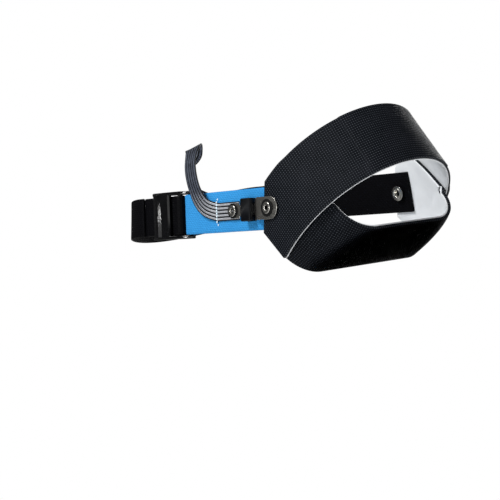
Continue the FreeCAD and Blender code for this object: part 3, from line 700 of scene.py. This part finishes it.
def loop_line(travel):
    """Middle of the instep loop's outer face, and how far round its front the place is, 0 to 1."""
    radius = STRAP_OUT - LOOP_DROP
    angle = min(travel / radius, math.pi)
    past = max(0.0, travel - math.pi * radius)
    front = (max(0.0, math.sin(angle) - LOOP_ENDS) / (1 - LOOP_ENDS)) ** 2
    place = Vector((EYELET_X, -radius * math.cos(angle), EYELET_Z))
    place += FORWARD * (LOOP_U + radius * math.sin(angle) - past)
    return place - LOOP_UP * (LOOP_SAG * front), front


def loop_place(travel):
    """Sweep place of the instep loop: travel from the -Y side's LOOP_U round to the far tab."""
    place, front = loop_line(travel)
    along = (loop_line(travel + 0.2)[0] - loop_line(travel - 0.2)[0]).normalized()
    lean = LEAN + (math.radians(LOOP_FRONT_LEAN) - LEAN) * front
    out = LOOP_UP.cross(along).normalized()
    width = LOOP_UP * math.cos(lean) - out * math.sin(lean)
    width = (width - along * width.dot(along)).normalized()
    face = along.cross(width)
    return place - face * (WEBBING / 2), width, face


def make_instep_strap():
    """The loop, the load run under the buckle and the tail, which meets the run under the bar."""
    end = math.pi * (STRAP_OUT - LOOP_DROP) + LOOP_U + STRAP_TAIL
    section = flat_section(WEBBING_WIDTH, WEBBING)
    loop = sweep("instep_webbing", [loop_place(travel) for travel in spaced(0.0, end, 190)], section,
                 "webbing_black", "strap")
    load = -WEBBING / 2 - LOOP_DROP
    bar_u, bar_z = MIDDLE_BAR
    run = sweep("load_webbing", strap_places([(u, load) for u in spaced(LOOP_U, bar_u, 30)]), section,
                "webbing_black", None)
    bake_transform(run)
    wrap = MIDDLE_BAR_RADIUS + BAR_RUN + WEBBING / 2
    rest = -WEBBING / 2 + 0.1
    line = [(bar_u + 0.9, load + 0.03)] + arc_points(bar_u, bar_z, wrap, -90, -270, 9)
    # from the top of the bar down to the loop, then along it
    line += [(bar_u + 2.0, bar_z + wrap - 0.35), (bar_u + 4.3, 0.75), (bar_u + 6.3, rest + 0.1)]
    line += [(u, rest) for u in spaced(bar_u + 8.4, TAIL_END_U, 8)]
    tail = sweep("strap_tail", strap_places(line), flat_section(WEBBING_WIDTH - 0.4, WEBBING),
                 "webbing_black", "buckle")
    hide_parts("instep_strap")
    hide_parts("threaded_strap_end")


# ---- CAD pieces with softened edges --------------------------------------------------------------
def soften(node, name, slot, body, width):
    """Copy of a CAD node's mesh with rounded edges, in its place."""
    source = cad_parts[node]
    mesh = source.data.copy()
    mesh.name = name
    piece = bpy.data.objects.new(name, mesh)
    bpy.context.scene.collection.objects.link(piece)
    mesh.materials.clear()
    mesh.materials.append(MATERIALS[slot])
    work = bmesh.new()
    work.from_mesh(mesh)
    bmesh.ops.remove_doubles(work, verts=work.verts, dist=2e-6)
    bmesh.ops.dissolve_limit(work, angle_limit=math.radians(2.0), verts=work.verts, edges=work.edges)
    work.to_mesh(mesh)
    work.free()
    round_edges(piece, width)
    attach(piece, body)
    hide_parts(node)


def make_hardware():
    """Moulded, sheet-metal and washer nodes; the last number is how far their edges are rounded."""
    soften("buckle_frame", "buckle_body", "buckle", "buckle", 0.28)
    soften("resistor_housing", "resistor_block", "moulding", "strap", 0.15)
    soften("front_lug", "front_lug_plate", "nickel", "strap", 0.10)
    soften("rear_lug", "rear_lug_plate", "nickel", "strap", 0.10)
    for node in ("tab_eyelet_washer", "ribbon_eyelet_washer"):
        soften(node, node + "_disc", "fibre", "strap", 0.08)
    for node in ("tab_eyelet_back_washer", "ribbon_eyelet_back_washer", "far_rivet_washer",
                 "far_rivet_back_washer"):
        soften(node, node + "_disc", "nickel", "strap", 0.08)
    for node, slot in (("resistor", "resistor"), ("resistor_lead_front", "lead"),
                       ("resistor_lead_rear", "lead")):
        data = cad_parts[node].data
        data.materials.clear()
        data.materials.append(MATERIALS[slot])


def lathe(name, node, profile, centre, axis):
    """Turned nickel piece from (radius, height) points on an axis that is square to FORWARD."""
    points, faces = [], []
    turns, count = 48, len(profile)
    other = axis.cross(FORWARD)
    for turn in range(turns):
        angle = 2 * math.pi * turn / turns
        spoke = FORWARD * math.cos(angle) + other * math.sin(angle)
        points += [centre + spoke * radius + axis * height for radius, height in profile]
    for turn in range(turns):
        after = (turn + 1) % turns
        for index in range(count):
            following = (index + 1) % count
            faces.append((turn * count + index, turn * count + following,
                          after * count + following, after * count + index))
    piece = new_piece(name, points, faces, "nickel", "strap")
    make_outward(piece)
    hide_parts(node)


def eyelet_profile(top, bottom):
    """Rolled flange on the face, barrel, and a smaller roll behind."""
    flange, flange_reach, flange_height = 1.8, 0.80, 0.27
    roll, roll_reach, roll_height = 2.1, 0.48, 0.25
    barrel = 1.9
    profile = []
    for angle in spaced(200, -60, 14):
        turn = math.radians(angle)
        profile.append((flange + flange_reach * math.cos(turn), top + 0.20 + flange_height * math.sin(turn)))
    profile += [(barrel, top - 0.02), (barrel, bottom + 0.02)]
    for angle in spaced(60, -150, 9):
        turn = math.radians(angle)
        profile.append((roll + roll_reach * math.cos(turn), bottom - 0.22 + roll_height * math.sin(turn)))
    profile += [(1.5, bottom - 0.1), (1.3, top - 0.3), (1.04, top + 0.02)]      # the bore, back to front
    return profile


def make_eyelets():
    """Each from the top of its washer to the underside of the one behind."""
    tab_top = RUBBER_TOP + OVER_RUBBER + LUG + FIBRE
    ribbon_top = ON_STRAP + RIBBON_THICKNESS + OVER_RIBBON + LUG + FIBRE
    far_top = RUBBER_TOP + OVER_RUBBER + FIBRE
    tail_back = -WEBBING - TAIL_SINK - UNDER_TAIL - FIBRE
    lathe("tab_eyelet_ring", "tab_eyelet", eyelet_profile(tab_top, tail_back), EYELET, OUTWARD)
    lathe("ribbon_eyelet_ring", "ribbon_eyelet", eyelet_profile(ribbon_top, -WEBBING - FIBRE),
          on_strap(RIBBON_EYELET_U, 0, 0), OUTWARD)
    flip = Vector((1, -1, 1))
    lathe("far_rivet_ring", "far_rivet", eyelet_profile(far_top, -LOOP_DROP - WEBBING - FIBRE),
          EYELET * flip, OUTWARD * flip)


# ---- ribbon --------------------------------------------------------------------------------------
# The CAD's route from the stitching to the roll, in metres, with the direction of the ribbon's width.
RIBBON_ROUTE = [
    ((-0.0570, -0.0393, 0.0580), (0.62, 0.06, 0.78)),
    ((-0.0580, -0.0402, 0.0631), (0.86, 0.02, 0.5)),
    ((-0.0572, -0.0408, 0.0687), (0.97, 0.02, 0.2)),
    ((-0.0562, -0.0404, 0.0750), (1, 0.08, 0)),
    ((-0.0558, -0.0384, 0.0816), (1, 0.15, 0)),
    ((-0.0558, -0.0352, 0.0867), (0.96, 0.3, 0)),
    ((-0.0571, -0.0316, 0.0907), (0.85, 0.52, 0)),
    ((-0.0602, -0.0276, 0.0937), (0.74, 0.67, 0)),
    ((-0.0648, -0.0250, 0.0940), (0.7, 0.68, -0.2)),
    ((-0.0690, -0.0246, 0.0918), (0.7, 0.1, -0.7)),
    ((-0.0719, -0.0254, 0.0879), (0.6, -0.6, -0.5)),
    ((-0.0718, -0.0278, 0.0818), (0.65, -0.66, -0.2)),
    ((-0.0694, -0.0304, 0.0748), (0.7, -0.4, 0.4)),
    ((-0.0658, -0.0320, 0.0676), (0.55, -0.1, 0.8)),
    ((-0.0512, -0.0326, 0.0550), (0.45, -0.1, 0.88)),
    ((-0.0420, -0.0318, 0.0496), (0.42, -0.15, 0.88)),
    ((-0.0322, -0.0302, 0.0446), (0.3, -0.6, 0.72)),
    ((-0.0224, -0.0270, 0.0398), (0.05, -1, 0.2)),
    ((-0.0134, -0.0240, 0.0342), (0, -1, 0)),
]
ROLL_TURNS, ROLL_PITCH = 3, 3.1
ROLL_STEP = 30                   # degrees between its control points


def ribbon_controls():
    """Control points in metres and width directions: under the lug, along the route, round the roll."""
    controls = [(on_strap(u, 0, ON_STRAP + RIBBON_THICKNESS / 2) * MM, -ACROSS)
                for u in (RIBBON_START_U, 31.0, 36.0, 40.0, STITCH_U)]
    controls += [(Vector(place), Vector(width)) for place, width in RIBBON_ROUTE]
    landing = math.radians(ROLL_LANDING)
    spoke = Vector((math.cos(landing), 0, math.sin(landing)))
    tangent = Vector((math.sin(landing), 0, -math.cos(landing)))
    across = Vector((0, -1, 0))
    reach = ROLL_RADIUS - 0.1
    for back in (7.0, 3.0):
        controls.append(((ROLL_CENTRE + spoke * reach - tangent * back) * MM, across))
    cut_inside = 0.75 + 0.25 * math.cos(math.radians(ROLL_STEP))      # the spline passes inside its points
    for step in range(ROLL_TURNS * 360 // ROLL_STEP + 1):
        turned = step * ROLL_STEP
        angle = landing - math.radians(turned)
        radius = (reach - ROLL_PITCH * turned / 360) / cut_inside
        spoke = Vector((math.cos(angle), 0, math.sin(angle)))
        controls.append(((ROLL_CENTRE + spoke * radius) * MM, across))
    return controls


def spline_points(controls):
    """Points of the NURBS spline through the controls, as Blender evaluates it."""
    curve = bpy.data.curves.new("ribbon_route", "CURVE")
    curve.dimensions = "3D"
    curve.resolution_u = 8
    spline = curve.splines.new("NURBS")
    spline.points.add(len(controls) - 1)
    for point, (place, _) in zip(spline.points, controls):
        point.co = (*place, 1.0)
    spline.order_u = 3
    spline.use_endpoint_u = True
    holder = bpy.data.objects.new("ribbon_route", curve)
    bpy.context.scene.collection.objects.link(holder)
    mesh = bpy.data.meshes.new_from_object(holder)
    points = [vertex.co.copy() for vertex in mesh.vertices]
    bpy.data.objects.remove(holder)
    bpy.data.meshes.remove(mesh)
    return points


def make_ribbon():
    """Flat strip along the spline, its width turning as the controls say."""
    controls = ribbon_controls()
    path = spline_points(controls)
    places = []
    last = len(path) - 1
    for index, point in enumerate(path):
        along = (path[min(index + 1, last)] - path[max(index - 1, 0)]).normalized()
        nearest = index / last * (len(controls) - 2) + 0.5      # control that the spline is passing
        low = min(int(nearest), len(controls) - 2)
        width = controls[low][1].normalized().lerp(controls[low + 1][1].normalized(),
                                                   min(nearest - low, 1.0))
        across = (width - along * width.dot(along)).normalized()
        places.append((point / MM, across, along.cross(across)))
    section = flat_section(RIBBON_WIDTH, RIBBON_THICKNESS, 9)
    strip = sweep("ribbon_strip", places, section, "ribbon", "strap")
    tie = make_tie()
    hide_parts("ribbon", "ribbon_roll")


def make_tie():
    """Thin band through the roll's bore and over its rim."""
    half = RIBBON_WIDTH / 2 + 0.3
    near, far = 1.55, ROLL_RADIUS + 0.75         # from the roll's axis
    corners = [Vector((near, 0, -half)), Vector((far, 0, -half)), Vector((far, 0, half)),
               Vector((near, 0, half))]
    bend_size = 0.9                              # run that each corner's curve takes of its sides
    places = []
    for index, corner in enumerate(corners):
        before, after = corners[index - 1], corners[(index + 1) % 4]
        entry = (before - corner).normalized() * bend_size
        leave = (after - corner).normalized() * bend_size
        for t in spaced(0, 1, 6):
            bend = (corner + entry) * (1 - t) ** 2 + corner * 2 * t * (1 - t)
            bend += (corner + leave) * t * t
            step = (leave * t - entry * (1 - t)).normalized()
            centre = ROLL_CENTRE + Vector((bend.x, bend.z, 0.0))
            out = Vector((step.z, -step.x, 0))
            places.append((centre, Vector((0, 0, 1)), out))
    tie = sweep("roll_band", places, flat_section(2.2, 0.4, 4), "tie", "strap", closed=True)
    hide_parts("roll_tie")
    return tie


# ---- stitching -----------------------------------------------------------------------------------
def make_stitching():
    """Row of thread across the ribbon: each stitch a plump, slightly slanted loop."""
    random.seed(7)
    points, faces = [], []
    rounds, stations = 8, 9                      # points round the thread, and rings along a stitch
    thread, arch = 0.40, 0.22                    # radius, and how far its middle rises
    for stitch in range(STITCHES):
        middle = (stitch - (STITCHES - 1) / 2) * STITCH_PITCH
        on_ribbon = abs(middle) < RIBBON_WIDTH / 2 + STITCH_HALF
        level = ON_STRAP + RIBBON_THICKNESS + 0.02 if on_ribbon else 0.02
        slant = random.uniform(-0.16, 0.16)
        long = STITCH_PITCH * random.uniform(0.80, 0.92) / 2
        base = len(points)
        for station in range(stations):
            t = station / (stations - 1) * 2 - 1
            thick = thread * math.sqrt(max(1 - t ** 4, 0.02))
            rise = arch * (1 - t * t)
            for turn in range(rounds):
                angle = 2 * math.pi * turn / rounds
                points.append(on_strap(STITCH_U + slant * t + thick * math.cos(angle), middle + long * t,
                                       level + rise + thick * 0.7 * math.sin(angle)))
        for station in range(stations - 1):
            for turn in range(rounds):
                after = (turn + 1) % rounds
                a, b = base + station * rounds, base + (station + 1) * rounds
                faces.append((a + turn, a + after, b + after, b + turn))
        faces.append(tuple(base + turn for turn in reversed(range(rounds))))
        faces.append(tuple(base + (stations - 1) * rounds + turn for turn in range(rounds)))
    piece = new_piece("ribbon_thread", points, faces, "thread", "strap")
    make_outward(piece)
    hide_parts("ribbon_stitching")


# ---- light and floor -----------------------------------------------------------------------------
WORLD_LIGHT = 0.09
FLOOR_SIDE, FLOOR_Z = 3.0, -0.0004        # half the floor's side and its level, in metres


def area_light(name, place, aim, width, height, power):
    """Soft light, its height along the buckle's bars; metres and watts."""
    data = bpy.data.lights.new(name, "AREA")
    data.shape = "RECTANGLE"
    data.size, data.size_y = width, height
    data.energy = power
    light = bpy.data.objects.new(name, data)
    light.matrix_world = facing(Vector(place), Vector(aim), -ACROSS)
    bpy.context.scene.collection.objects.link(light)


def make_world():
    """White to the camera, dimmer as a light."""
    world = bpy.data.worlds.new("studio")
    bpy.context.scene.world = world
    world.use_nodes = True
    nodes, links = world.node_tree.nodes, world.node_tree.links
    background = nodes["Background"]
    background.inputs["Color"].default_value = (1.0, 1.0, 1.0, 1.0)
    ray = nodes.new("ShaderNodeLightPath")
    strength = nodes.new("ShaderNodeMapRange")
    strength.inputs["To Min"].default_value = WORLD_LIGHT
    strength.inputs["To Max"].default_value = 1.0
    links.new(ray.outputs["Is Camera Ray"], strength.inputs["Value"])
    links.new(strength.outputs[0], background.inputs["Strength"])


def make_floor():
    """Pale floor just under the sole strip, clear when seen from below, as the photograph's view is."""
    mesh = bpy.data.meshes.new("floor")
    corners = [(x * FLOOR_SIDE, y * FLOOR_SIDE, FLOOR_Z) for x, y in ((-1, -1), (1, -1), (1, 1), (-1, 1))]
    mesh.from_pydata(corners, [], [(0, 1, 2, 3)])
    floor = bpy.data.objects.new("floor", mesh)
    bpy.context.scene.collection.objects.link(floor)
    paint = Paint("floor", (0.86, 0.86, 0.86), 0.7, specular=0.2)
    side_node = paint.nodes.new("ShaderNodeNewGeometry")
    clear = paint.nodes.new("ShaderNodeBsdfTransparent")
    choose = paint.nodes.new("ShaderNodeMixShader")
    paint.links.new(side_node.outputs["Backfacing"], choose.inputs[0])
    paint.links.new(paint.shader.outputs[0], choose.inputs[1])
    paint.links.new(clear.outputs[0], choose.inputs[2])
    paint.links.new(choose.outputs[0], paint.nodes["Material Output"].inputs["Surface"])
    mesh.materials.append(paint.material)
    floor.visible_shadow = False


bpy.context.scene.view_settings.view_transform = "Standard"
make_world()
make_floor()
area_light("key", (0.22, -0.60, 0.76), (-0.03, -0.03, 0.04), 0.28, 0.28, 8.6)
area_light("glint", (0.0, -0.93, 0.15), (-0.08, -0.04, 0.065), 0.03, 0.20, 1.7)
area_light("far_side", (-0.45, 0.85, 0.45), (-0.03, 0.0, 0.03), 0.6, 0.6, 6.0)
area_light("back", (0.90, 0.30, 0.60), (-0.03, 0.0, 0.03), 0.6, 0.6, 0.9)

make_ribbon()
make_heel_strip()
make_sole_strip()
make_side_strap()
make_instep_strap()
make_hardware()
make_eyelets()
make_stitching()
